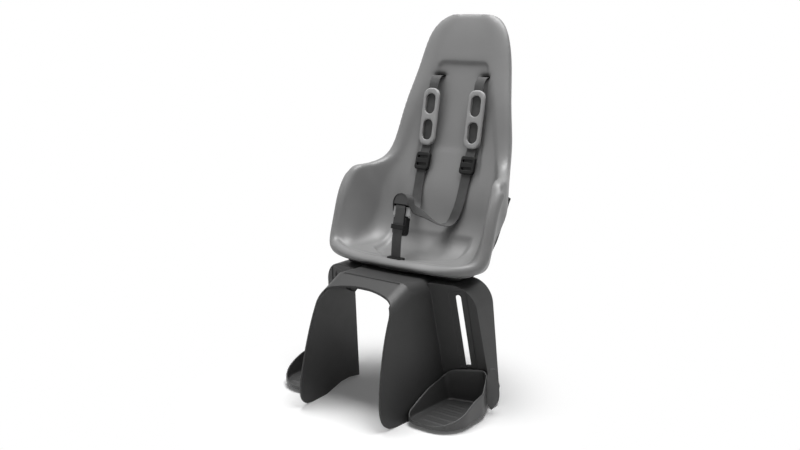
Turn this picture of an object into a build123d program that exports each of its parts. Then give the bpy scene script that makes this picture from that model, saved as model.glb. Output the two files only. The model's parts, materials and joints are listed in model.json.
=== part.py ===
from build123d import *
import os
from math import cos, hypot, radians, sin

os.makedirs("parts", exist_ok=True)

# Child bike seat for a rear carrier. Millimetres, +Z up, -Y is the way the child faces, +X is the child's left.
# Sizes below are measured from the front tips of the leg panels (y) and from their lowest points (z).
# frame_y moves the finished pieces so that the frame's origin is under the middle of the whole seat.
frame_y = 222.5

# Seat shell: stations from the front lip over the pan and up the back.
# Each one is a U in a plane across the seat, through a floor point and a rim point given as (y, z).
# Columns: floor y and z, rim y and z, floor half, rim half, outer half, under half, wall, floor corner.
shell_stations = [
    (120, 309, 120, 316, 140, 176, 202, 174, 20, 16),
    (168, 309, 166, 316, 144, 180, 206, 176, 21, 16),
    (206, 309, 196, 326, 150, 187, 213, 178, 24, 24),
    (240, 310, 214, 368, 152, 189, 216, 176, 28, 38),
    (270, 315, 231, 416, 151, 190, 217, 170, 27, 43),
    (292, 327, 243, 450, 150, 190, 216, 162, 25, 44),
    (313, 352, 258, 477, 148, 186, 212, 160, 22, 44),
    (333, 405, 292, 487, 146, 177, 203, 174, 22, 42),
    (353, 466, 336, 496, 138, 155, 182, 168, 24, 26),
    (376, 526, 366, 528, 125, 133, 165, 154, 26, 12),
    (394, 592, 386, 594, 108, 115, 152, 144, 26, 10),
    (412, 660, 406, 662, 92, 98, 138, 131, 26, 10),
    (442, 768, 438.5, 769, 66, 76, 115.5, 108, 24, 10),
    (454, 812, 451, 813, 50, 58, 96, 90, 20, 10),
    (461, 834.5, 459, 835, 24, 30, 52, 48, 10, 6),
]
rim_outer_radius = 9.0
rim_inner_radius = 5.0
shell_under_radius = 22.0
recline_deg = 15.6

# Front rim: a round roll down the right wing's front edge and along the lip to the middle, as (x, y, z).
lip_radius = 13.5
wing_roll = [(202, 264, 462), (203, 240, 430), (203, 222, 382), (202, 208, 341), (194, 193, 315), (168, 176, 306),
             (120, 165, 304)]
lip_middle = (0, 157, 304)
lip_start = 3

# Back panel recess and harness slots.
recess_z = 620.0
recess_up = 110.0
recess_down = 100.0
recess_half_top = 70.0
recess_half_low = 90.0
recess_depth = 3.5
recess_corner = 16.0
slot_x = 62.0
slot_z = 693.0
slot_length = 30.0
slot_height = 10.0
anchor_depth = 24.0
crotch_y = 168.0
crotch_slot_length = 31.0
crotch_slot_width = 8.0

bezel_z = 307.0
bezel_length = 42.0
bezel_width = 15.0
bezel_height = 6.0
bezel_clear = 0.3
anchor_top_z = 293.0
anchor_pocket_length = 44.0
anchor_pocket_width = 16.0

# Screws from under the deck into the shell, and from the clamp into the cradle.
screw_radius = 2.5
screw_head_radius = 5.0
screw_head_height = 3.0
screw_clear = 0.3
shell_screw_x = 112.0
shell_screw_y = (206.0, 244.0)
shell_screw_top_z = 302.0
shell_screw_places = [(side * shell_screw_x, y) for side in (-1, 1) for y in shell_screw_y]
clamp_bolt_x = 46.0
clamp_bolt_y = (192.0, 211.0)
clamp_bolt_top_z = 281.0
clamp_bolt_places = [(side * clamp_bolt_x, y) for side in (-1, 1) for y in clamp_bolt_y]

# Under-shell.
cradle_front_y = 181.0

# Leg guard: side panel, shield behind the foot, outer flange and the bridge over the wheel.
guard_wall = 4.0
panel_x_low = 115.0
panel_lean = 0.0725
panel_toe = 0.07
panel_bulge_y = -31.0
shoulder_radius = 28.0
niche_radius = 55.0
corner_y_low = 189.0
corner_lean = 0.16
shield_sweep = 0.26
edge_x_low = 228.0
edge_lean = 0.105
flange_rear_y = 244.0
bridge_wall = 4.5
bridge_front_y = 36.0
bridge_front_z = 264.0
bridge_crest_y = 84.0
bridge_crest_z = 286.0
bridge_rear_z = 282.3
bridge_arch = 15.0
bridge_step_y = 176.0
deck_z = 276.3
deck_end_y = 262.0

# Footrest slot and rack in the shield.
slide_x = 178.0
slide_z = 104.0
slide_slot_width = 12.0
slide_slot_low_z = 34.0
slide_slot_top_z = 256.0
rack_count = 7
rack_pitch = 25.0
rack_first_z = 42.0
rack_radius = 3.0
channel_width = 38.0
channel_depth = 1.2

# Footrest cup.
foot_floor_z = 6.0
foot_wall = 3.5
foot_floor_wall = 4.0
foot_gap_panel = 2.5
foot_gap_shield = 2.0
foot_front_y = 30.0
foot_outer_x = 242.0
foot_heel_z = 93.0
foot_toe_z = 19.0
neck_clear = 0.4
lock_clear = 0.4

foot_strap_wall = 3.0
lock_length = 48.0
lock_width = 24.0
lock_thick = 4.0
neck_length = 34.0
neck_z = 70.0

# Harness.
webbing_width = 25.0
webbing_thick = 1.6
webbing_clear = 1.0
strap_x = 62.0
pad_width = 43.0
pad_length = 134.0
pad_thick = 9.0
pad_corner = 18.0
pad_window_length = 48.0
pad_window_width = 26.0
pad_mid_y = 388.0
pad_mid_z = 598.0
pad_slope_deg = 11.2
adjuster_width = 38.0
adjuster_length = 42.0
adjuster_y = 360.0
adjuster_z = 497.0
adjuster_slope_deg = 19.6

# Crotch buckle, on a plane that leans back.
buckle_y = 188.0
buckle_z = 385.0
buckle_lean_deg = 12.0
buckle_half = 17.0
buckle_depth = 16.0
buckle_low = -27.0
neck_half = 10.6
neck_low = 14.0
neck_top = 41.0
button_y = 27.0
button_height = 20.0
button_in = 13.2
button_out = 21.5
pin_radius = 2.0
pin_clear = 0.3
tongue_radius = 18.5
tongue_depth = 22.0
tongue_y = 46.0
stem_half = 5.6
stem_clear = 0.3

# Carrier clamp under the bridge.
rail_radius = 6.0
rail_clear = 0.2
rail_x = 54.0
rail_z = 238.0
rail_front_y = 166.0
clamp_front_y = 104.0
clamp_rear_y = 254.0
clamp_half = 58.0
clamp_top_z = 271.8
clamp_plate = 8.0
clamp_wall = 7.0
clamp_wall_z = 246.0
clamp_core_half = 30.0
jaw_gap = 0.5
jaw_travel = 7.0
jaw_in_x = 38.0
jaw_out_x = 72.0
jaw_low_z = 227.0
jaw_arm_z = 245.0
jaw_top_z = 262.5
spindle_y = 120.0
spindle_z = 252.0
spindle_radius = 4.0
spindle_clear = 0.4
knob_start_x = 76.0
knob_radius = 19.5
knob_length = 14.0
knob_lobes = 6


def save(shape, name):
    """Move a piece into the object's frame and write it as one node."""
    export_step(Pos(0, -frame_y, 0) * shape, f"parts/{name}.step")


def mirrored(shape):
    """The same piece on the other side of the seat."""
    return mirror(shape, about=Plane.YZ)


def rounded_face(points, radii):
    """A polygon with its own radius at each corner, where 0 leaves the corner sharp."""
    face = make_face(Polyline(*points, close=True))
    for point, radius in zip(points, radii):
        if radius:
            corner = face.vertices().sort_by_distance(Vector(*point))[0]
            face = fillet(corner, radius)
    return face


def left_offset(points, distance):
    """The same open path moved to its left by a wall thickness."""
    moved = []
    last = len(points) - 1
    for index, point in enumerate(points):
        before = points[max(index - 1, 0)]
        after = points[min(index + 1, last)]
        first = unit(point, after) if index == 0 else unit(before, point)
        second = unit(before, point) if index == last else unit(point, after)
        normal = (-first[1] - second[1], first[0] + second[0])
        scale = distance * 2 / (normal[0] ** 2 + normal[1] ** 2)
        moved.append((point[0] + normal[0] * scale, point[1] + normal[1] * scale))
    return moved


def unit(start, end):
    """Direction from one point of a plane to another."""
    length = hypot(end[0] - start[0], end[1] - start[1])
    return ((end[0] - start[0]) / length, (end[1] - start[1]) / length)


def shell_section(station, grow=0.0):
    """One U-shaped station of the shell, with its outer side grown by a clearance."""
    floor_y, floor_z, rim_y, rim_z, floor, rim, outer, under, wall, corner = station
    height = hypot(rim_y - floor_y, rim_z - floor_z)
    up_y = (rim_y - floor_y) / height
    up_z = (rim_z - floor_z) / height
    plane = Plane(origin=(0, floor_y, floor_z), x_dir=(1, 0, 0), z_dir=(0, -up_z, up_y))
    side = outer + grow
    low_half = under + grow
    low = -wall - grow
    points = [(rim, height), (side, height), (low_half, low), (-low_half, low),
              (-side, height), (-rim, height), (-floor, 0), (floor, 0)]
    rim_out = min(rim_outer_radius, 0.38 * (outer - rim), 0.4 * (height + wall))
    rim_in = min(rim_inner_radius, 0.2 * (outer - rim))
    low_corner = min(shell_under_radius, 0.7 * wall)
    radii = [rim_in, rim_out, low_corner, low_corner, rim_out, rim_in, corner, corner]
    return plane * rounded_face(points, radii)


def floor_y_at(z):
    """Depth of the back's front face at a height on its straight part."""
    low_y, low_z = shell_stations[11][0:2]
    top_y, top_z = shell_stations[12][0:2]
    return low_y + (z - low_z) * (top_y - low_y) / (top_z - low_z)


def back_plane(z, depth=0.0):
    """A plane on the back's front face at a height, its normal towards the child."""
    lean = radians(recline_deg)
    return Plane(origin=(0, floor_y_at(z) + depth, z), x_dir=(1, 0, 0), z_dir=(0, -cos(lean), sin(lean)))


def seat_shell():
    """Bucket shell with a rolled rim, a round front lip, a recessed back panel and the harness slots."""
    body = loft([shell_section(station) for station in shell_stations])
    recess = rounded_face([(-recess_half_low, -recess_down), (recess_half_low, -recess_down),
                           (recess_half_top, recess_up), (-recess_half_top, recess_up)],
                          [0, 0, recess_corner, recess_corner])
    body = body - extrude(back_plane(recess_z, recess_depth) * recess, 30)
    for side in (-1, 1):
        hole = back_plane(slot_z) * Pos(side * slot_x, 0, 0) * SlotOverall(slot_length, slot_height)
        body = body - extrude(hole, 60, both=True)
        pocket = back_plane(slot_z) * Pos(side * slot_x, 0, -anchor_depth) * RectangleRounded(47, 23, 5)
        body = body - extrude(pocket, -30)
    left = [(-x, y, z) for x, y, z in wing_roll]
    path = left + [lip_middle] + wing_roll[::-1]
    edge = [(x, y) for x, y, z in path[lip_start:-lip_start]]
    end_y = edge[0][1]
    behind = Polyline(edge[-1], (270, end_y), (270, 700), (-270, 700), (-270, end_y), edge[0])
    outline = make_face(Spline(*edge) + behind)
    body = body & extrude(Pos(0, 0, 200) * outline, 700)
    line = Spline(*path)
    body = body + sweep(Plane(origin=line @ 0, z_dir=line % 0) * Circle(lip_radius), line)
    crotch = Pos(0, crotch_y, bezel_z) * SlotOverall(crotch_slot_length, crotch_slot_width)
    body = body - extrude(crotch, 60, both=True)
    body = body - Pos(0, crotch_y, bezel_z + 10) * Box(bezel_length, bezel_width, 20)
    body = body - Pos(0, crotch_y, anchor_top_z - 10) * Box(anchor_pocket_length, anchor_pocket_width, 20)
    for x, y in shell_screw_places:
        body = body - Pos(x, y, shell_screw_top_z - 20) * Cylinder(screw_radius + screw_clear, 40)
    return body


def base_cradle(clear=0.3):
    """Dark under-shell that carries the bucket's lower back and floor."""
    levels = [(deck_z, 150, 306, 26), (340, 166, 342, 30), (434, 177, 386, 34)]
    sections = []
    for z, half, rear, corner in levels:
        points = [(-half, cradle_front_y), (half, cradle_front_y), (half, rear), (-half, rear)]
        sections.append(Pos(0, 0, z) * rounded_face(points, [12, 12, corner, corner]))
    body = loft(sections, ruled=True)
    side = [(170, 260), (170, 290), (284, 290), (366, 424), (366, 440), (440, 440), (440, 260)]
    keep = make_face(Polyline(*side, close=True))
    body = body & extrude(Plane.YZ * keep, 300, both=True)
    body = body - loft([shell_section(station, clear) for station in shell_stations])
    for x, y in shell_screw_places + clamp_bolt_places:
        body = body - Pos(x, y, deck_z) * Cylinder(screw_radius + screw_clear, 60)
    return body


def panel_x(y, z):
    """Outer face of the side panel."""
    return panel_x_low - panel_lean * z + panel_toe * y


def corner_y(z):
    """Where the side panel turns out into the shield."""
    return corner_y_low - corner_lean * z


def shield_y(x, z):
    """Front face of the shield behind the foot."""
    return corner_y(z) + shield_sweep * (x - panel_x(corner_y(z), z))


def edge_x(z):
    """Outer face of the flange round the shield."""
    return edge_x_low - edge_lean * z


def bridge_section(y, top):
    """The bridge and the two side panels at one depth, as an upturned U with round shoulders."""
    low = -14
    foot = panel_x(y, low)
    head = panel_x(y, top)
    points = [(foot, low), (head, top), (-head, top), (-foot, low), (guard_wall - foot, low),
              (guard_wall - head, top - bridge_wall), (head - guard_wall, top - bridge_wall), (foot - guard_wall, low)]
    inner = shoulder_radius - guard_wall
    plane = Plane(origin=(0, y, 0), x_dir=(1, 0, 0), z_dir=(0, -1, 0))
    return plane * rounded_face(points, [0, shoulder_radius, shoulder_radius, 0, 0, inner, inner, 0])


def niche_face(inset):
    """Outline of the leg's niche seen from the front, with a round outer top corner."""
    top = deck_z - inset * bridge_wall / guard_wall
    points = [(40, -20), (edge_x(-20) - inset, -20), (edge_x(top) - inset, top), (40, top)]
    return Plane.XZ * rounded_face(points, [0, 0, niche_radius - inset, 0])


slide_dir = Vector(-(panel_lean + panel_toe * corner_lean), -corner_lean, 1).normalized()
shield_normal = Vector(1, shield_sweep, 0).cross(slide_dir).normalized()
shield_plane = Plane(origin=(slide_x, shield_y(slide_x, slide_z), slide_z), x_dir=slide_dir, z_dir=shield_normal)


def along_slide(z):
    """Distance along the slide from the shield plane's origin to a height."""
    return (z - slide_z) / slide_dir.Z


def side_outline():
    """The guard seen from the side: bowed front edges, round toes and a stepped lower edge."""
    head = (bridge_front_y + 4, bridge_front_z + 8)
    toe = (-8, 3.5)
    heel = (flange_rear_y - 22, 4)
    back = (flange_rear_y, 26)
    front = Spline(head, (4, 205), (-20, 125), (panel_bulge_y, 62), (-27, 22), toe)
    under = Polyline(toe, (14, 0), (64, 0), (118, 12), (150, 12), (192, 4), heel)
    corner = RadiusArc(heel, back, -22)
    rear = Polyline(back, (flange_rear_y + 2, 200), (300, 262), (300, 320), (head[0], 320), head)
    return Plane.YZ * make_face(front + under + corner + rear)


def leg_guard():
    """One moulding over the carrier: bridge, deck, side panels, and niches with slots for the footrests."""
    slope = (bridge_crest_z - bridge_front_z) / (bridge_crest_y - bridge_front_y)
    start_y = panel_bulge_y - 3
    levels = [(start_y, bridge_front_z + slope * (start_y - bridge_front_y)), (bridge_crest_y, bridge_crest_z),
              (bridge_crest_y + 52, bridge_rear_z), (corner_y_low + 7, bridge_rear_z)]
    bridge = loft([bridge_section(y, top) for y, top in levels], ruled=True)
    bridge = bridge - Pos(0, bridge_step_y + 25, deck_z + 25) * Box(400, 50, 50)
    bow = ThreePointArc((-88, 30), (0, bridge_front_y + bridge_arch), (88, 30))
    scoop = make_face(bow + Polyline((88, 30), (88, -60), (-88, -60), (-88, 30)))
    bridge = bridge - extrude(Pos(0, 0, 200) * scoop, 120)
    groove = Pos(0, bridge_crest_y - 4, bridge_crest_z - 1.2) * Rot(0, 90, 0) * Cylinder(2.2, 150)
    bridge = bridge - groove
    behind = shield_plane * Pos(along_slide(110), 70, -guard_wall - 50) * Box(330, 90, 100)
    bridge = bridge - behind - mirrored(behind)
    front_half = shield_plane * Pos(0, 0, -150) * Box(900, 900, 300)
    border = extrude(niche_face(0) - niche_face(guard_wall), flange_rear_y, dir=(0, 1, 0)) & front_half
    sheet = shield_plane * Pos(0, 0, -guard_wall / 2) * Box(900, 900, guard_wall)
    plate = extrude(niche_face(0), flange_rear_y, dir=(0, 1, 0)) & sheet
    panel_side = Plane(origin=(panel_x(0, 0) - guard_wall, 0, 0), z_dir=(1, -panel_toe, panel_lean))
    leg = (plate + border) & panel_side * Pos(0, 0, 150) * Box(900, 900, 300)
    middle = (slide_slot_low_z + slide_slot_top_z) / 2
    length = (slide_slot_top_z - slide_slot_low_z) / slide_dir.Z
    hole = shield_plane * Pos(along_slide(middle), 0, 0) * SlotOverall(length, slide_slot_width)
    leg = leg - extrude(hole, 20, both=True)
    leg = leg - shield_plane * Pos(along_slide(middle), 0, 0) * Box(length + 16, channel_width, 2 * channel_depth)
    for tooth in range(rack_count):
        place = Pos(along_slide(rack_first_z + rack_pitch * tooth), 18, -guard_wall + 0.4)
        leg = leg + shield_plane * place * Rot(90, 0, 0) * Cylinder(rack_radius, 10)
    deck_half = edge_x(deck_z) - niche_radius
    deck = Pos(0, (bridge_step_y + deck_end_y) / 2, deck_z - bridge_wall / 2)
    deck = deck * Box(2 * deck_half, deck_end_y - bridge_step_y, bridge_wall)
    step = Pos(0, bridge_step_y - 2, (bridge_rear_z + deck_z - bridge_wall) / 2)
    step_width = 2 * panel_x(bridge_step_y, bridge_rear_z) - 2 * shoulder_radius
    step = step * Box(step_width, 4, bridge_rear_z - deck_z + bridge_wall)
    body = bridge + deck + step + leg + mirrored(leg)
    body = body & extrude(side_outline(), 400, both=True)
    for x, y in shell_screw_places + clamp_bolt_places:
        body = body - Pos(x, y, deck_z) * Cylinder(screw_radius + screw_clear, 20)
    return body


def foot_section(z):
    """Plan of the right footrest cup at one height."""
    back = panel_x(corner_y(z) - 3, z) + foot_gap_panel
    points = [(panel_x(foot_front_y, z) + foot_gap_panel, foot_front_y), (foot_outer_x, foot_front_y),
              (foot_outer_x + 1, 148), (222, shield_y(222, z) - foot_gap_shield), (back, shield_y(back, z) - foot_gap_shield)]
    return rounded_face(points, [28, 62, 40, 18, 14])


def footrest():
    """Right footrest cup with a high heel, sole ribs and a neck through the shield's slot."""
    top_z = foot_heel_z + 19
    outer = loft([Pos(0, 0, z) * foot_section(z) for z in (foot_floor_z, top_z)], ruled=True)
    outer = fillet(outer.faces().sort_by(Axis.Z)[0].edges(), 5)
    inner = loft([Pos(0, 0, z) * offset(foot_section(z), -foot_wall)
                  for z in (foot_floor_z + foot_floor_wall, top_z + 1)], ruled=True)
    body = outer - inner
    for rib in range(5):
        body = body + Pos(182, 62 + 24 * rib, foot_floor_z + foot_floor_wall) * Box(74, 5, 3)
    above = make_face(Polyline((0, foot_toe_z - 17), (38, foot_toe_z), (198, foot_heel_z), (240, foot_heel_z + 4),
                               (240, 200), (0, 200), close=True))
    body = body - extrude(Plane.YZ * above, 400, both=True)
    low = -guard_wall - lock_clear
    high = foot_gap_shield + 2
    neck = Pos(along_slide(neck_z), 0, (low + high) / 2)
    neck = neck * Box(neck_length, slide_slot_width - 2 * neck_clear, high - low)
    body = body + shield_plane * neck
    return body - shield_plane * Pos(along_slide(neck_z), 0, low) * Cylinder(2.1, 12)


def footrest_lock():
    """Plate behind the shield that holds the footrest's neck in the slot."""
    middle = -guard_wall - lock_clear - lock_thick / 2
    plate = fillet(Box(lock_length, lock_width, lock_thick).edges().filter_by(Axis.Z), 5)
    plate = plate - Cylinder(2.1, 20)
    return shield_plane * Pos(along_slide(neck_z), 0, middle) * plate


def lock_screw():
    """Screw that draws the lock plate to the neck."""
    face = -guard_wall - lock_clear - lock_thick
    head = Pos(0, 0, face - 1.2) * Cylinder(4.2, 2.4)
    shank = Pos(0, 0, face + 4) * Cylinder(2.0, 8)
    return shield_plane * Pos(along_slide(neck_z), 0, 0) * (head + shank)


def foot_strap():
    """Rubber strap leaf that hangs on the outer rear corner of the footrest."""
    outline = rounded_face([(-6, 48), (6, 48), (17, 10), (12, -25), (0, -46), (-12, -25), (-17, 10)],
                           [3, 3, 20, 20, 2, 20, 20])
    plane = Plane(origin=(238, 188, 54), x_dir=(0.8, 0.6, 0), z_dir=(0.6, -0.8, 0))
    leaf = extrude(plane * outline, foot_strap_wall)
    wall = loft([Pos(0, 0, z) * foot_section(z) for z in (foot_floor_z, foot_heel_z + 19)], ruled=True)
    tab = plane * Pos(-16, 4, foot_strap_wall / 2) * Box(24, 22, foot_strap_wall)
    return leaf + tab - wall


def facing_plane(x, y, z, lean_deg):
    """A plane across the seat that leans back, its normal towards the child's front."""
    lean = radians(lean_deg)
    return Plane(origin=(x, y, z), x_dir=(1, 0, 0), z_dir=(0, -cos(lean), sin(lean)))


pad_plane = facing_plane(strap_x, pad_mid_y, pad_mid_z, pad_slope_deg)
adjuster_plane = facing_plane(strap_x, adjuster_y, adjuster_z, adjuster_slope_deg)
buckle_plane = facing_plane(0, buckle_y, buckle_z, buckle_lean_deg)


def shoulder_points():
    """Middle line of the right shoulder webbing, from its end behind the shell down to the bucket."""
    rear = [back_plane(slot_z) * Pos(strap_x, 0, -depth) for depth in (38, 28, 14)]
    points = [place.position for place in rear]
    points.append(Vector(strap_x, floor_y_at(slot_z) - 3, slot_z - 1.5))
    points.append(Vector(strap_x, floor_y_at(slot_z) - 13, slot_z - 9))
    for up in (70, 25, -25, -68):
        points.append((pad_plane * Pos(0, up, 0)).position)
    for up in (24, 0, -24):
        points.append((adjuster_plane * Pos(0, up, 0)).position)
    points.append(Vector(strap_x - 1, 337, 432))
    return points


def webbing_section(point, along, across):
    """Cross-section of the webbing at one point of its path."""
    side = (across - along * across.dot(along)).normalized()
    plane = Plane(origin=point, x_dir=side, z_dir=along)
    return plane * Rectangle(webbing_width, webbing_thick)


def shoulder_webbing():
    """One webbing from slot to slot: down the shoulders, a slack loop and over the buckle's tongue."""
    right = shoulder_points()
    left = [Vector(-point.X, point.Y, point.Z) for point in right]
    lift = tongue_radius + webbing_thick / 2 + 0.5
    arch = [(buckle_plane * Pos(lift * sin(radians(turn)), tongue_y + lift * cos(radians(turn)), 0)).position
            for turn in (-90, -60, -30, 0, 30, 60, 90)]
    into_left = [Vector(-58, 328, 414), Vector(-52, 316, 397), Vector(-41, 278, 396), Vector(-29, 228, 404)]
    out_right = [Vector(23, 232, 404), Vector(29, 274, 378), Vector(44, 308, 367), Vector(56, 320, 390)]
    points = left + into_left + arch + out_right + right[::-1]
    flat = Vector(1, 0, 0)
    turned = -buckle_plane.z_dir
    across = [flat] * len(left) + [flat, Vector(0.9, 0.4, 0), Vector(0.6, 0.8, 0), Vector(0.25, 0.95, 0)]
    across = across + [turned] * len(arch)
    across = across + [Vector(-0.25, 0.95, 0), Vector(-0.6, 0.8, 0), Vector(-0.95, 0.3, 0), -flat]
    across = across + [-flat] * len(right)
    path = Spline(*points)
    sections = []
    marks = [path.param_at_point(point) for point in points]
    for index in range(len(points) - 1):
        steps = 3
        for step in range(steps):
            share = step / steps
            mark = marks[index] + (marks[index + 1] - marks[index]) * share
            blend = across[index] * (1 - share) + across[index + 1] * share
            sections.append(webbing_section(path @ mark, path % mark, blend))
    sections.append(webbing_section(path @ 1, path % 1, across[-1]))
    return loft(sections, ruled=True)


def shoulder_pad():
    """Rubber shoulder pad with two long windows and a channel for the webbing at its back."""
    back = -webbing_thick / 2 - 0.6
    block = extrude(RectangleRounded(pad_width, pad_length, pad_corner), pad_thick)
    block = chamfer(block.faces().sort_by(Axis.Z)[-1].edges(), 2.2)
    pad = Pos(0, 0, back) * block
    deep = webbing_thick + webbing_clear + 0.6
    pad = pad - Pos(0, 0, back + deep / 2) * Box(webbing_width + 2 * webbing_clear, pad_length + 10, deep)
    for side in (-1, 1):
        window = Pos(0, side * 30.5, 0) * Rot(0, 0, 90) * SlotOverall(pad_window_length, pad_window_width)
        pad = pad - extrude(window, 30)
    return pad_plane * pad


def strap_adjuster():
    """Ladder-lock adjuster with a through channel and two cross slots in its face."""
    block = Pos(0, 0, -3.0) * extrude(RectangleRounded(adjuster_width, adjuster_length, 7), 9)
    block = chamfer(block.faces().sort_by(Axis.Z)[-1].edges(), 1.5)
    block = block - Box(webbing_width + 2, adjuster_length + 10, webbing_thick + 2 * webbing_clear)
    for side in (-1, 1):
        block = block - Pos(0, side * 9, 5) * Box(webbing_width + 2, 6, 10)
    return adjuster_plane * block


def harness_anchor():
    """Plate behind the shell that the shoulder webbing hangs on."""
    seat = Pos(0, 0, -anchor_depth - 4) * extrude(RectangleRounded(46, 22, 5), 4)
    seat = seat - Box(webbing_width + 2, webbing_thick + 2.4, 90)
    return back_plane(slot_z) * Pos(strap_x, 0, 0) * seat


def crotch_strap():
    """Webbing from the anchor under the lip, up through the slot and the buckle's keeper."""
    front = buckle_depth / 2 + 0.5 + webbing_thick / 2
    points = [Vector(0, crotch_y, anchor_top_z - 5), Vector(0, crotch_y, 306), Vector(0, crotch_y + 1, 328)]
    for up in (-34, -17, 0, 20, neck_top - 1):
        points.append((buckle_plane * Pos(0, up, front)).position)
    path = Spline(*points)
    sections = []
    for step in range(19):
        sections.append(webbing_section(path @ (step / 18), path % (step / 18), Vector(1, 0, 0)))
    stop = Pos(0, crotch_y, anchor_top_z - 7) * Box(webbing_width, 6, 4)
    return loft(sections, ruled=True) + stop


def crotch_bezel():
    """Dark plate round the crotch slot."""
    outer = Box(bezel_length - 2 * bezel_clear, bezel_width - 2 * bezel_clear, bezel_height)
    outer = fillet(outer.edges().filter_by(Axis.Z), 3)
    outer = chamfer(outer.faces().sort_by(Axis.Z)[-1].edges(), 1.2)
    return Pos(0, crotch_y, bezel_z + bezel_height / 2) * (outer - Box(webbing_width + 3, 5, 20))


def crotch_anchor():
    """Plate in the pocket under the lip that stops the crotch strap."""
    plate = Box(anchor_pocket_length - 1, anchor_pocket_width - 1, 4) - Box(webbing_width + 2, 3.2, 20)
    return Pos(0, crotch_y, anchor_top_z - 2) * plate


def buckle_housing():
    """Buckle body with a neck between the two release pieces, a socket for the tongue and a strap keeper."""
    outline = rounded_face([(-buckle_half, buckle_low), (buckle_half, buckle_low), (buckle_half, neck_low),
                            (neck_half, neck_low), (neck_half, neck_top), (-neck_half, neck_top),
                            (-neck_half, neck_low), (-buckle_half, neck_low)], [9, 9, 4, 0, 3, 3, 0, 4])
    body = Pos(0, 0, -buckle_depth / 2) * extrude(outline, buckle_depth)
    body = chamfer(body.faces().sort_by(Axis.Z)[-1].edges(), 1.5)
    front = buckle_depth / 2
    for side in (-1, 1):
        body = body + Pos(side * 15, -8, front + 1.5) * Box(3, 10, 5)
        body = body - Pos(side * neck_half, button_y, 0) * Rot(0, 90, 0) * Cylinder(pin_radius + pin_clear, 12)
    body = body + Pos(0, -8, front + 4.5) * Box(33, 10, 2.4)
    deep = 14.0
    socket = Pos(0, neck_top - deep / 2 + 1, 0) * Box(2 * (stem_half + stem_clear), deep + 2, 6 + 2 * stem_clear)
    return buckle_plane * (body - socket)


def buckle_button():
    """Left release piece with a guide pin in the neck."""
    width = button_out - button_in
    block = Pos((button_in + button_out) / 2, button_y, 0) * Box(width, button_height, 12)
    block = fillet(block.faces().sort_by(Axis.X)[-1].edges(), 3)
    pin = Pos(button_in - 1.9, button_y, 0) * Rot(0, 90, 0) * Cylinder(pin_radius, 4.4)
    return buckle_plane * (block + pin)


def buckle_tongue():
    """Half-round tongue that the webbing runs over, with a stem in the housing's socket."""
    low = neck_top + 1
    outline = Pos(0, tongue_y, 0) * Circle(tongue_radius) & Pos(0, low + 25, 0) * Rectangle(60, 50)
    saddle = Pos(0, 0, -tongue_depth / 2) * extrude(outline, tongue_depth)
    stem = Pos(0, low - 6, 0) * Box(2 * stem_half, 14, 6)
    return buckle_plane * (saddle + stem)


def clamp_housing():
    """Fixed part of the carrier clamp: top plate, end walls and a core with the spindle's bore."""
    length = clamp_rear_y - clamp_front_y
    middle = (clamp_front_y + clamp_rear_y) / 2
    body = Pos(0, middle, clamp_top_z - clamp_plate / 2) * Box(2 * clamp_half, length, clamp_plate)
    step = bridge_rear_z - bridge_wall - clamp_top_z
    body = body + Pos(0, bridge_step_y - 20, clamp_top_z + step / 2) * Box(2 * clamp_half, 30, step)
    tall = clamp_top_z - clamp_wall_z
    for y in (clamp_front_y + clamp_wall / 2, clamp_rear_y - clamp_wall / 2):
        body = body + Pos(0, y, clamp_top_z - tall / 2) * Box(2 * clamp_half, clamp_wall, tall)
    body = body + Pos(0, middle, clamp_top_z - tall / 2) * Box(2 * clamp_core_half, length, tall)
    body = body - Pos(0, spindle_y, spindle_z) * Rot(0, 90, 0) * Cylinder(spindle_radius + spindle_clear, 200)
    for x, y in clamp_bolt_places:
        body = body - Pos(x, y, clamp_top_z) * Cylinder(screw_radius + screw_clear, 40)
    return body


def clamp_jaw():
    """Left sliding jaw: an arm on the spindle and a leg with a half-round seat for the carrier's rail."""
    front = clamp_front_y + clamp_wall + jaw_gap
    rear = clamp_rear_y - clamp_wall - jaw_gap
    arm = Pos((jaw_in_x + jaw_out_x) / 2, (front + rear) / 2, (jaw_arm_z + jaw_top_z) / 2)
    body = arm * Box(jaw_out_x - jaw_in_x, rear - front, jaw_top_z - jaw_arm_z)
    leg = Pos((rail_x + jaw_out_x) / 2, (rail_front_y + rear) / 2, (jaw_low_z + jaw_arm_z) / 2)
    body = body + leg * Box(jaw_out_x - rail_x, rear - rail_front_y, jaw_arm_z - jaw_low_z)
    body = fillet(body.edges().filter_by(Axis.Y).group_by(Axis.X)[-1], 5)
    body = body - Pos(rail_x, 200, rail_z) * Rot(90, 0, 0) * Cylinder(rail_radius + rail_clear, 200)
    for x, y in clamp_bolt_places:
        room = 2 * screw_head_radius + 2
        body = body - Pos(x + jaw_travel / 2, y, jaw_top_z) * Box(room + jaw_travel, room, 9)
    bore = Pos(rail_x, spindle_y, spindle_z) * Rot(0, 90, 0) * Cylinder(spindle_radius + spindle_clear, 80)
    return body - bore


def clamp_spindle():
    """Threaded rod across the clamp with an end collar."""
    start = -knob_start_x - 8
    end = jaw_out_x + 12
    rod = Pos((start + end) / 2, spindle_y, spindle_z) * Rot(0, 90, 0) * Cylinder(spindle_radius, end - start)
    collar = Pos(end - 4, spindle_y, spindle_z) * Rot(0, 90, 0) * Cylinder(8, 6)
    return rod + collar


def clamp_knob():
    """Lobed hand knob on the spindle's left end."""
    outline = Circle(knob_radius - 2)
    for lobe in range(knob_lobes):
        turn = radians(360 * lobe / knob_lobes)
        outline = outline + Pos((knob_radius - 4) * cos(turn), (knob_radius - 4) * sin(turn), 0) * Circle(4)
    knob = extrude(outline, knob_length)
    knob = knob - Cylinder(spindle_radius, 16)
    return Pos(-knob_start_x, spindle_y, spindle_z) * Rot(0, -90, 0) * knob


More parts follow.
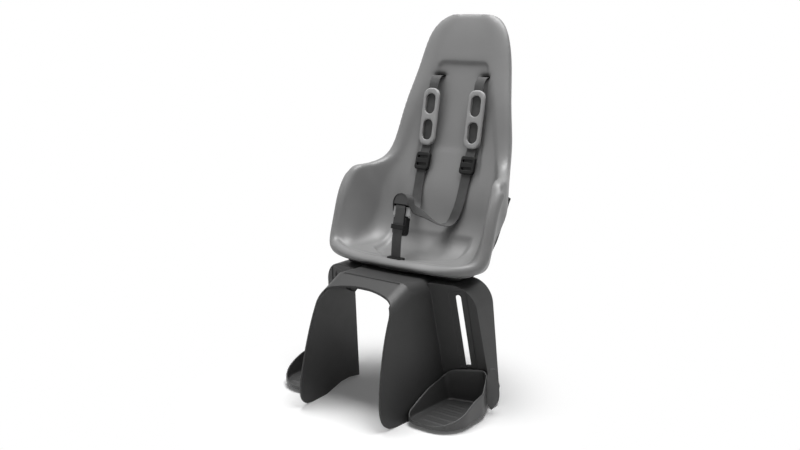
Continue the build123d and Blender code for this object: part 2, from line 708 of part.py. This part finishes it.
def screws(places, head_z, top_z):
    """A set of equal screws that point up, their heads under a face."""
    group = []
    for x, y in places:
        head = Pos(x, y, head_z - screw_head_height / 2) * Cylinder(screw_head_radius, screw_head_height)
        shank = Pos(x, y, (head_z + top_z) / 2) * Cylinder(screw_radius, top_z - head_z)
        group.append(head + shank)
    return Compound(children=group)


def build():
    """Make every piece and write it as its own node."""
    save(seat_shell(), "seat_shell")
    save(base_cradle(), "base_cradle")
    save(leg_guard(), "leg_guard")
    pairs = {"footrest": footrest(), "footrest_lock": footrest_lock(), "foot_strap": foot_strap(),
             "lock_screw": lock_screw(), "shoulder_pad": shoulder_pad(), "strap_adjuster": strap_adjuster(),
             "harness_anchor": harness_anchor(), "buckle_button": buckle_button(), "clamp_jaw": clamp_jaw()}
    for name, shape in pairs.items():
        save(shape, f"{name}_left")
        save(mirrored(shape), f"{name}_right")
    save(shoulder_webbing(), "shoulder_webbing")
    save(crotch_strap(), "crotch_strap")
    save(crotch_bezel(), "crotch_bezel")
    save(crotch_anchor(), "crotch_anchor")
    save(buckle_housing(), "buckle_housing")
    save(buckle_tongue(), "buckle_tongue")
    save(clamp_housing(), "clamp_housing")
    save(clamp_spindle(), "clamp_spindle")
    save(clamp_knob(), "clamp_knob")
    save(screws(shell_screw_places, deck_z - bridge_wall, shell_screw_top_z - 1), "shell_screws")
    save(screws(clamp_bolt_places, clamp_top_z - clamp_plate, clamp_bolt_top_z), "clamp_bolts")


build()
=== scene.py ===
import json
from math import hypot, radians, sqrt

import bmesh
import bpy
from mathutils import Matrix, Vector


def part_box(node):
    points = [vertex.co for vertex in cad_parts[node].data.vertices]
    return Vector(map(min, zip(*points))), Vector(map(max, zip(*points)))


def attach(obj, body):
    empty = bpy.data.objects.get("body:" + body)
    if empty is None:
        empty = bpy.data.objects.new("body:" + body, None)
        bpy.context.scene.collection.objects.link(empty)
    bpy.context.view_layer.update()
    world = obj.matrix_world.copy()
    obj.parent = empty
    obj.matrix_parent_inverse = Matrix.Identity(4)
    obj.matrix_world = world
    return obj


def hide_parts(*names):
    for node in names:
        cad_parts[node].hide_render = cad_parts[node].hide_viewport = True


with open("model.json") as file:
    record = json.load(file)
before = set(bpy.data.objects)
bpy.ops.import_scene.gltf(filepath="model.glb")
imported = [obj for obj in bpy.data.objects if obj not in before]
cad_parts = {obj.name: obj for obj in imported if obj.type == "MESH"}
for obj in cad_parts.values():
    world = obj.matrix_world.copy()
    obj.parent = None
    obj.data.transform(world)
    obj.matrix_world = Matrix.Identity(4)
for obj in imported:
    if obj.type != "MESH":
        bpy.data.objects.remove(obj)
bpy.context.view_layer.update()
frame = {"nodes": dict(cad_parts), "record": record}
nodes = frame["nodes"]
slots = {row["node"]: row["material_slot"] for row in frame["record"]["subparts"]}
scene = bpy.context.scene

# Camera of the photograph: where it stands, its turn about Z, its pitch below level and its lens.
camera_place = (1.206, -1.6805, 0.830)
camera_turn_deg = 36.3
camera_pitch_deg = 12.4
camera_lens_mm = 42.9
camera_sensor_mm = 36.0

# Greys of the finishes, as linear values.
shell_grey = 0.192
guard_grey = 0.032
cradle_grey = 0.03
foot_grey = 0.054
webbing_grey = 0.045
pad_grey = 0.30
black_grey = 0.008
button_grey = 0.42
tongue_grey = 0.03
rubber_grey = 0.07
steel_grey = 0.55

# Moulded plastic: its change of tone, its grain, its change of gloss and the painted shade that darkens its
# creases.
tone_ends = (0.3, 0.7)
tone_scale = 9.0
tone_detail = 3.0
grain_detail = 2.0
grain_depth = 0.001
gloss_scale = 40.0
gloss_detail = 4.0
gloss_spread = 0.05
# Painted shade: how far ambient occlusion reaches, and how finely it samples, when it darkens the plastics'
# creases.
painted_shade_reach = 0.03
painted_shade_samples = 8
edge_samples = 6

# The webbing's weave, tone and sheen, and the steel's tone and gloss.
weave_scale = 160.0
weave_depth = 0.0006
weave_strength = 0.35
weave_tone_scale = 60.0
weave_spread = 0.12
weave_roughness = 0.75
weave_sheen = 0.05
steel_tone_scale = 200.0
steel_spread = 0.08
steel_roughness = 0.35

# Mesh size of each skin, and how often it is smoothed.
shell_voxel = 0.0034
shell_rounds = 8
cradle_voxel = 0.003
cradle_rounds = 14
foot_voxel = 0.0017
foot_rounds = 10
pad_voxel = 0.0011
pad_rounds = 14
adjuster_voxel = 0.0008
adjuster_rounds = 6

# The shell's head: where it is softened, and its domed top, which falls to the sides.
head_rounds = 60
head_level = (0.46, 0.56)
head_facing = (0.15, 0.5)
dome_fall = 0.6
dome_level = (0.74, 0.83)

# The shallow pan behind the lip: its plan, its edges, its depth and the surface that sinks into it.
pan_front = -0.047
pan_rear = 0.088
pan_bow = 4.6
pan_half = 0.114
pan_edge = 0.005
pan_side = 0.014
pan_depth = 0.009
pan_facing = (0.4, 0.7)
pan_ceiling = 0.36
pan_fade = 0.02

# The front lip: lowered towards a level, tilted forward, and left as it is towards the wings.
lip_bow = 0.75
lip_level = 0.3075
lip_keep = 0.4
lip_full = 0.08
lip_end = 0.19
lip_edge = 0.004
lip_flat = 0.013
lip_reach = 0.026
lip_tilt = 0.008
lip_foot = 0.289
lip_ceiling = 0.335
lip_fade = 0.01

# The back's panel: its top, how it widens downward, its round corners and its depth.
panel_top = 0.727
panel_half = 0.070
panel_widen = 0.10
panel_corner = 0.018
panel_fade = (0.40, 0.56)
panel_edge = 0.006
panel_depth = 0.0045
panel_facing = (0.3, 0.6)

# The footrest's cup: how far its rear corners are rounded off, and where the rounding starts.
cup_drop = 0.030
cup_level = (0.02, 0.085)
cup_rear = (-0.125, -0.048)
cup_round = 0.35

# The webbing: its size in the solids, its ribs along the strap, its thin edges and its sewn stop.
webbing_width = 0.025
webbing_thick = 0.0016
webbing_slack = 0.00003
rib_steps = 14
rib_depth = 0.00025
rib_edge = 0.4
stop_length = 0.004
stop_half = 0.003

# Where the first end of each strap lies: behind the left slot, and under the seat.
shoulder_end = Vector((0.01, 1, 0))
crotch_end = Vector((0, 0, -1))

# The studio: a pale floor that turns white away from the seat, and the world's light.
floor_size = 12.0
floor_grey = 0.93
floor_spread = 0.01
floor_tone_scale = 3.0
floor_tone_detail = 2.0
floor_roughness = 0.9
floor_gloss = 0.1
floor_shift = (0, 0.11, 0)
floor_near = 0.24
floor_far = 0.47
floor_least = 0.08
world_light = 0.13
world_seen = 1.0


def new_material(name):
    """A material with an empty node tree but for its shader and output."""
    material = bpy.data.materials.new(name)
    material.use_nodes = True
    tree = material.node_tree
    return material, tree, tree.nodes["Principled BSDF"]


def link(tree, source, output, target, socket):
    """Join an output of one node to an input of another."""
    tree.links.new(source.outputs[output], target.inputs[socket])


def noise_node(tree, scale, detail):
    """Noise in the object's own frame."""
    place = tree.nodes.new("ShaderNodeTexCoord")
    noise = tree.nodes.new("ShaderNodeTexNoise")
    noise.inputs["Scale"].default_value = scale
    noise.inputs["Detail"].default_value = detail
    link(tree, place, "Object", noise, "Vector")
    return noise


def tone_ramp(tree, noise, grey, spread):
    """Soft change of tone round a grey."""
    ramp = tree.nodes.new("ShaderNodeValToRGB")
    ends = (grey * (1 - spread), grey * (1 + spread))
    for element, tone, place in zip(ramp.color_ramp.elements, ends, tone_ends):
        element.color = (tone, tone, tone, 1)
        element.position = place
    link(tree, noise, "Fac", ramp, "Fac")
    return ramp


def painted_crease_shade(tree, tone, painted_shade_depth):
    """A tone with painted shade: darker in creases and wherever other surfaces come near, from ambient
    occlusion.
    """
    # Painted shade: the base colour is scaled down where ambient occlusion finds surfaces near, in creases
    # and between parts.
    crease = tree.nodes.new("ShaderNodeAmbientOcclusion")
    crease.samples = painted_shade_samples
    crease.inputs["Distance"].default_value = painted_shade_reach
    shade = tree.nodes.new("ShaderNodeMapRange")
    shade.inputs["To Min"].default_value = 1 - painted_shade_depth
    link(tree, crease, "AO", shade, "Value")
    painted_shade_tone = tree.nodes.new("ShaderNodeVectorMath")
    painted_shade_tone.operation = "SCALE"
    link(tree, tone, "Color", painted_shade_tone, 0)
    link(tree, shade, "Result", painted_shade_tone, "Scale")
    return painted_shade_tone


def grained(tree, scale, strength, edge):
    """A surface with a fine grain and eased edges."""
    bump = tree.nodes.new("ShaderNodeBump")
    bump.inputs["Strength"].default_value = strength
    bump.inputs["Distance"].default_value = grain_depth
    link(tree, noise_node(tree, scale, grain_detail), "Fac", bump, "Height")
    bevel = tree.nodes.new("ShaderNodeBevel")
    bevel.samples = edge_samples
    bevel.inputs["Radius"].default_value = edge
    link(tree, bevel, "Normal", bump, "Normal")
    return bump


def plastic(name, grey, roughness, grain_scale=900.0, grain=0.05, spread=0.05, edge=0.0015, gloss=0.5,
            painted_shade_depth=0.3):
    """Moulded plastic or rubber with a fine grain, eased edges, a faint change of tone and painted shade in
    its creases.
    """
    material, tree, shader = new_material(name)
    shader.inputs["Specular IOR Level"].default_value = gloss
    tone = tone_ramp(tree, noise_node(tree, tone_scale, tone_detail), grey, spread)
    link(tree, painted_crease_shade(tree, tone, painted_shade_depth), "Vector", shader, "Base Color")
    link(tree, grained(tree, grain_scale, grain, edge), "Normal", shader, "Normal")
    rough = tree.nodes.new("ShaderNodeMapRange")
    rough.inputs["To Min"].default_value = roughness - gloss_spread
    rough.inputs["To Max"].default_value = roughness + gloss_spread
    link(tree, noise_node(tree, gloss_scale, gloss_detail), "Fac", rough, "Value")
    link(tree, rough, "Result", shader, "Roughness")
    return material


def webbing(name, grey):
    """Woven nylon: fine ribs along and across the strap."""
    material, tree, shader = new_material(name)
    tone = tone_ramp(tree, noise_node(tree, weave_tone_scale, tone_detail), grey, weave_spread)
    link(tree, tone, "Color", shader, "Base Color")
    shader.inputs["Roughness"].default_value = weave_roughness
    shader.inputs["Sheen Weight"].default_value = weave_sheen
    place = tree.nodes.new("ShaderNodeTexCoord")
    weave = tree.nodes.new("ShaderNodeMath")
    weave.operation = "ADD"
    for index, direction in enumerate(("X", "Z")):
        wave = tree.nodes.new("ShaderNodeTexWave")
        wave.bands_direction = direction
        wave.inputs["Scale"].default_value = weave_scale
        link(tree, place, "Object", wave, "Vector")
        link(tree, wave, "Fac", weave, index)
    bump = tree.nodes.new("ShaderNodeBump")
    bump.inputs["Strength"].default_value = weave_strength
    bump.inputs["Distance"].default_value = weave_depth
    link(tree, weave, "Value", bump, "Height")
    link(tree, bump, "Normal", shader, "Normal")
    return material


def steel(name, grey):
    """Zinc-plated steel with faint changes of tone."""
    material, tree, shader = new_material(name)
    tone = tone_ramp(tree, noise_node(tree, steel_tone_scale, tone_detail), grey, steel_spread)
    link(tree, tone, "Color", shader, "Base Color")
    shader.inputs["Metallic"].default_value = 1.0
    shader.inputs["Roughness"].default_value = steel_roughness
    return material


def share_of(value, low, high):
    """Straight step from nothing at low to one at high."""
    return min(max((value - low) / (high - low), 0.0), 1.0)


def eased(value, low, high):
    """Soft step from nothing at low to one at high."""
    share = share_of(value, low, high)
    return share * share * (3 - 2 * share)


def baked(piece):
    """Turn a piece's modifiers into its mesh."""
    bpy.context.view_layer.update()
    solid = piece.evaluated_get(bpy.context.evaluated_depsgraph_get())
    mesh = bpy.data.meshes.new_from_object(solid)
    piece.modifiers.clear()
    piece.data = mesh
    return mesh


def stand_for(piece, node, body):
    """Let a piece take a node's place by riding the given body, with the node hidden."""
    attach(piece, body)
    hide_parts(node)


def skin(node, body, voxel, rounds):
    """A finely meshed copy of a node with eased edges, which stands for it."""
    piece = bpy.data.objects.new(node + "_skin", nodes[node].data.copy())
    scene.collection.objects.link(piece)
    remesh = piece.modifiers.new("remesh", "REMESH")
    remesh.mode = "VOXEL"
    remesh.voxel_size = voxel
    smooth = piece.modifiers.new("smooth", "SMOOTH")
    smooth.iterations = rounds
    baked(piece).shade_smooth()
    stand_for(piece, node, body)
    return piece


def pan_drop(point):
    """How far a point of the seat's floor sinks into the pan."""
    x, y, z = point.co
    front = pan_front + pan_bow * x * x
    along = eased(y, front, front + pan_edge) * eased(pan_rear - y, 0.0, pan_edge)
    flat = eased(point.normal.z, *pan_facing) * eased(pan_ceiling - z, 0.0, pan_fade)
    return pan_depth * along * eased(pan_half - abs(x), 0.0, pan_side) * flat


def lip_drop(point):
    """How far a point on the front lip comes down, so that the lip is a broad tilted band."""
    x, y, z = point.co
    front = pan_front + lip_bow * x * x
    over = max(z - lip_level, 0.0)
    tilt = eased(front - y, lip_flat, lip_flat + lip_reach) * eased(z, lip_foot, lip_level)
    share = eased(lip_end - abs(x), 0.0, lip_end - lip_full) * eased(front + lip_edge - y, 0.0, lip_edge)
    return ((1 - lip_keep) * over + lip_tilt * tilt) * share * eased(lip_ceiling - z, 0.0, lip_fade)


def panel_drop(point):
    """How far a point of the back sinks into its round-cornered panel."""
    x, _, z = point.co
    below = panel_top - z
    within = panel_half + panel_widen * below - abs(x)
    depth = min(below, within)
    if below < panel_corner and within < panel_corner:
        depth = panel_corner - hypot(panel_corner - below, panel_corner - within)
    facing = eased(-point.normal.y, *panel_facing)
    return panel_depth * eased(depth, 0.0, panel_edge) * eased(z, *panel_fade) * facing


def dome_drop(point):
    """How far a point of the head comes down, so that its top is domed."""
    x, _, z = point.co
    return dome_fall * x * x * eased(z, *dome_level)


def shell_skin():
    """The shell with a soft domed head, a panel in the back, a pan behind its lip and eased rims."""
    piece = skin("seat_shell", "seat", shell_voxel, shell_rounds)
    head = piece.vertex_groups.new(name="head")
    for point in piece.data.vertices:
        inside = eased(-point.normal.y, *head_facing)
        head.add([point.index], inside * eased(point.co.z, *head_level), "REPLACE")
    soften = piece.modifiers.new("soften", "SMOOTH")
    soften.iterations = head_rounds
    soften.vertex_group = "head"
    mesh = baked(piece)
    moves = []
    for point in mesh.vertices:
        down = pan_drop(point) + lip_drop(point) + dome_drop(point)
        moves.append((down, panel_drop(point)))
    for point, (down, back) in zip(mesh.vertices, moves):
        point.co.z -= down
        point.co.y += back
    mesh.shade_smooth()


def footrest_skin(node):
    """A footrest whose cup has a round-cornered rear edge."""
    piece = skin(node, node, foot_voxel, foot_rounds)
    low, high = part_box(node)
    middle = (low[0] + high[0]) / 2
    half = (high[0] - low[0]) / 2
    for point in piece.data.vertices:
        x, y, z = point.co
        out = share_of(abs(x - middle) / half, cup_round, 1.0)
        corner = (1 - sqrt(1 - out * out)) * eased(y, *cup_rear)
        point.co.z -= cup_drop * corner * share_of(z, *cup_level)
    piece.data.shade_smooth()


def strap_sections(node):
    """The two edges and the face direction of a strap at each of its cross-sections, in no order."""
    solid = bmesh.new()
    solid.from_mesh(nodes[node].data)
    bmesh.ops.remove_doubles(solid, verts=solid.verts, dist=webbing_slack)
    wide = [edge for edge in solid.edges if abs(edge.calc_length() - webbing_width) < webbing_slack]
    owner = {point: edge for edge in wide for point in edge.verts}
    sections = []
    seen = set()
    for edge in wide:
        near, far = edge.verts
        for rung in near.link_edges:
            under = rung.other_vert(near)
            partner = owner.get(under)
            thin = abs(rung.calc_length() - webbing_thick) < webbing_slack
            if thin and partner not in (None, edge) and edge not in seen:
                seen.update((edge, partner))
                end = partner.other_vert(under)
                face = (near.co - under.co).normalized()
                sections.append(((near.co + under.co) / 2, (far.co + end.co) / 2, face))
    solid.free()
    return sections


def in_order(sections, toward):
    """A strap's cross-sections from the end that lies furthest one way, all turned alike."""
    loose = list(sections)
    last = max(loose, key=lambda row: (row[0] + row[1]).dot(toward))
    rows = []
    while loose:
        row = min(loose, key=lambda other: (other[0] + other[1] - last[0] - last[1]).length)
        loose.remove(row)
        left, right, face = row
        if (right - left).dot(last[1] - last[0]) < 0:
            left, right = right, left
        if face.dot(last[2]) < 0:
            face = -face
        last = (left, right, face)
        rows.append(last)
    return rows


def strap_ring(left, right, face, half):
    """One cross-section of woven webbing: ribs on both faces and thin edges."""
    ring = []
    for side in (1, -1):
        for step in range(rib_steps + 1):
            share = step / rib_steps if side > 0 else 1 - step / rib_steps
            rise = half - rib_depth * (1 - step % 2)
            if step in (0, rib_steps):
                rise = half * rib_edge
            ring.append(left.lerp(right, share) + face * side * rise)
    return ring


def woven_strap(node, toward, has_stop):
    """Ribbed webbing along a strap's solid, which stands for it, with its thick sewn stop if it has one."""
    rows = in_order(strap_sections(node), toward)
    rings = [strap_ring(*row, webbing_thick / 2) for row in rows]
    if has_stop:
        left, right, face = rows[0]
        beyond = (rows[0][0] - rows[1][0]).normalized() * stop_length
        rings.insert(0, strap_ring(left, right, face, stop_half))
        rings.insert(0, strap_ring(left + beyond, right + beyond, face, stop_half))
    count = len(rings[0])
    points = [point for ring in rings for point in ring]
    faces = [list(range(count)), list(range(len(points) - count, len(points)))[::-1]]
    for index in range(len(rings) - 1):
        start = index * count
        for step in range(count):
            after = (step + 1) % count
            faces.append((start + after, start + step, start + count + step, start + count + after))
    mesh = bpy.data.meshes.new(node + "_woven")
    mesh.from_pydata(points, [], faces)
    mesh.materials.append(finishes[slots[node]])
    mesh.shade_smooth()
    piece = bpy.data.objects.new(node + "_woven", mesh)
    scene.collection.objects.link(piece)
    stand_for(piece, node, "seat")


def add_light(name, place, turn_deg, size, power):
    """One soft studio panel."""
    data = bpy.data.lights.new(name, "AREA")
    data.shape = "RECTANGLE"
    data.size, data.size_y = size
    data.energy = power
    lamp = bpy.data.objects.new(name, data)
    lamp.location = place
    lamp.rotation_euler = [radians(angle) for angle in turn_deg]
    scene.collection.objects.link(lamp)


def seen_rays(tree):
    """One for what the camera sees, also in a mirror or glass, and nothing for light on the object."""
    path = tree.nodes.new("ShaderNodeLightPath")
    total = path.outputs["Is Camera Ray"]
    for kind in ("Is Glossy Ray", "Is Transmission Ray"):
        either = tree.nodes.new("ShaderNodeMath")
        either.operation = "MAXIMUM"
        tree.links.new(total, either.inputs[0])
        tree.links.new(path.outputs[kind], either.inputs[1])
        total = either.outputs["Value"]
    return total


def distance_fade(tree):
    """Least on the floor round the seat, and one far from it."""
    place = tree.nodes.new("ShaderNodeTexCoord")
    shift = tree.nodes.new("ShaderNodeVectorMath")
    shift.operation = "ADD"
    shift.inputs[1].default_value = floor_shift
    link(tree, place, "Object", shift, 0)
    length = tree.nodes.new("ShaderNodeVectorMath")
    length.operation = "LENGTH"
    link(tree, shift, "Vector", length, 0)
    fade = tree.nodes.new("ShaderNodeMapRange")
    fade.interpolation_type = "SMOOTHSTEP"
    fade.inputs["From Min"].default_value = floor_near
    fade.inputs["From Max"].default_value = floor_far
    fade.inputs["To Min"].default_value = floor_least
    link(tree, length, "Value", fade, "Value")
    return fade


def studio_floor():
    """Pale floor that keeps the shadow and turns to plain white away from the seat."""
    bpy.ops.mesh.primitive_plane_add(size=floor_size, location=(0, 0, 0))
    floor = bpy.context.object
    floor.name = "studio_floor"
    material, tree, shader = new_material("floor_paint")
    noise = noise_node(tree, floor_tone_scale, floor_tone_detail)
    link(tree, tone_ramp(tree, noise, floor_grey, floor_spread), "Color", shader, "Base Color")
    shader.inputs["Roughness"].default_value = floor_roughness
    shader.inputs["Specular IOR Level"].default_value = floor_gloss
    share = tree.nodes.new("ShaderNodeMath")
    share.operation = "MULTIPLY"
    tree.links.new(seen_rays(tree), share.inputs[0])
    link(tree, distance_fade(tree), "Result", share, 1)
    white = tree.nodes.new("ShaderNodeEmission")
    mix = tree.nodes.new("ShaderNodeMixShader")
    link(tree, share, "Value", mix, "Fac")
    link(tree, shader, "BSDF", mix, 1)
    link(tree, white, "Emission", mix, 2)
    link(tree, mix, "Shader", tree.nodes["Material Output"], "Surface")
    floor.data.materials.append(material)


def studio_world():
    """White world that lights the seat weakly."""
    world = bpy.data.worlds.new("studio")
    world.use_nodes = True
    tree = world.node_tree
    background = tree.nodes["Background"]
    level = tree.nodes.new("ShaderNodeMapRange")
    level.inputs["To Min"].default_value = world_light
    level.inputs["To Max"].default_value = world_seen
    tree.links.new(seen_rays(tree), level.inputs["Value"])
    background.inputs["Color"].default_value = (1, 1, 1, 1)
    link(tree, level, "Result", background, "Strength")
    scene.world = world


def photo_camera():
    """Camera that stands where the photograph was taken."""
    data = bpy.data.cameras.new("photo_camera")
    data.lens = camera_lens_mm
    data.sensor_width = camera_sensor_mm
    camera = bpy.data.objects.new("photo_camera", data)
    camera.location = camera_place
    camera.rotation_euler = (radians(90 - camera_pitch_deg), 0, radians(camera_turn_deg))
    scene.collection.objects.link(camera)
    scene.camera = camera


# One finish for each of the record's material slots.
finishes = {
    # Every plastic gets painted shade in its creases. The shell's is the darkest.
    "shell_grey": plastic("shell_plastic", shell_grey, roughness=0.42, grain_scale=1400.0, grain=0.03,
                          spread=0.03, edge=0.004, painted_shade_depth=0.4),
    "cradle_dark": plastic("cradle_plastic", cradle_grey, roughness=0.5),
    "guard_dark": plastic("guard_plastic", guard_grey, roughness=0.46, edge=0.003, gloss=0.35),
    "foot_dark": plastic("foot_plastic", foot_grey, roughness=0.42),
    "strap_rubber": plastic("strap_rubber", rubber_grey, roughness=0.55),
    "webbing": webbing("woven_webbing", webbing_grey),
    "pad_rubber": plastic("pad_rubber", pad_grey, roughness=0.6, grain_scale=1200.0, grain=0.04),
    "buckle_dark": plastic("buckle_plastic", black_grey, roughness=0.5, gloss=0.2),
    "button_light": plastic("button_plastic", button_grey, roughness=0.45),
    "tongue_grey": plastic("tongue_plastic", tongue_grey, roughness=0.45),
    "clamp_black": plastic("clamp_plastic", black_grey, roughness=0.5, gloss=0.35),
    "steel": steel("zinc_steel", steel_grey),
}
for node, slot in slots.items():
    node_mesh = nodes[node].data
    node_mesh.materials.clear()
    node_mesh.materials.append(finishes[slot])

# The pieces that stand for a solid.
shell_skin()
skin("base_cradle", "seat", cradle_voxel, cradle_rounds)
for side in ("left", "right"):
    footrest_skin("footrest_" + side)
for side in ("left", "right"):
    skin("shoulder_pad_" + side, "seat", pad_voxel, pad_rounds)
    skin("strap_adjuster_" + side, "seat", adjuster_voxel, adjuster_rounds)
woven_strap("shoulder_webbing", shoulder_end, has_stop=False)
woven_strap("crotch_strap", crotch_end, has_stop=True)

# The studio.
add_light("top_panel", place=(0.1, 0.1, 2.5), turn_deg=(0, 0, 0), size=(2.0, 1.2), power=78.0)
add_light("left_panel", place=(-2.0, -1.5, 1.5), turn_deg=(65, 0, -53), size=(1.6, 1.8), power=4.0)
add_light("right_panel", place=(2.2, -1.2, 1.6), turn_deg=(65, 0, 60), size=(1.6, 1.8), power=1.5)
studio_floor()
studio_world()
photo_camera()
scene.view_settings.view_transform = "Standard"

bpy.context.view_layer.update()
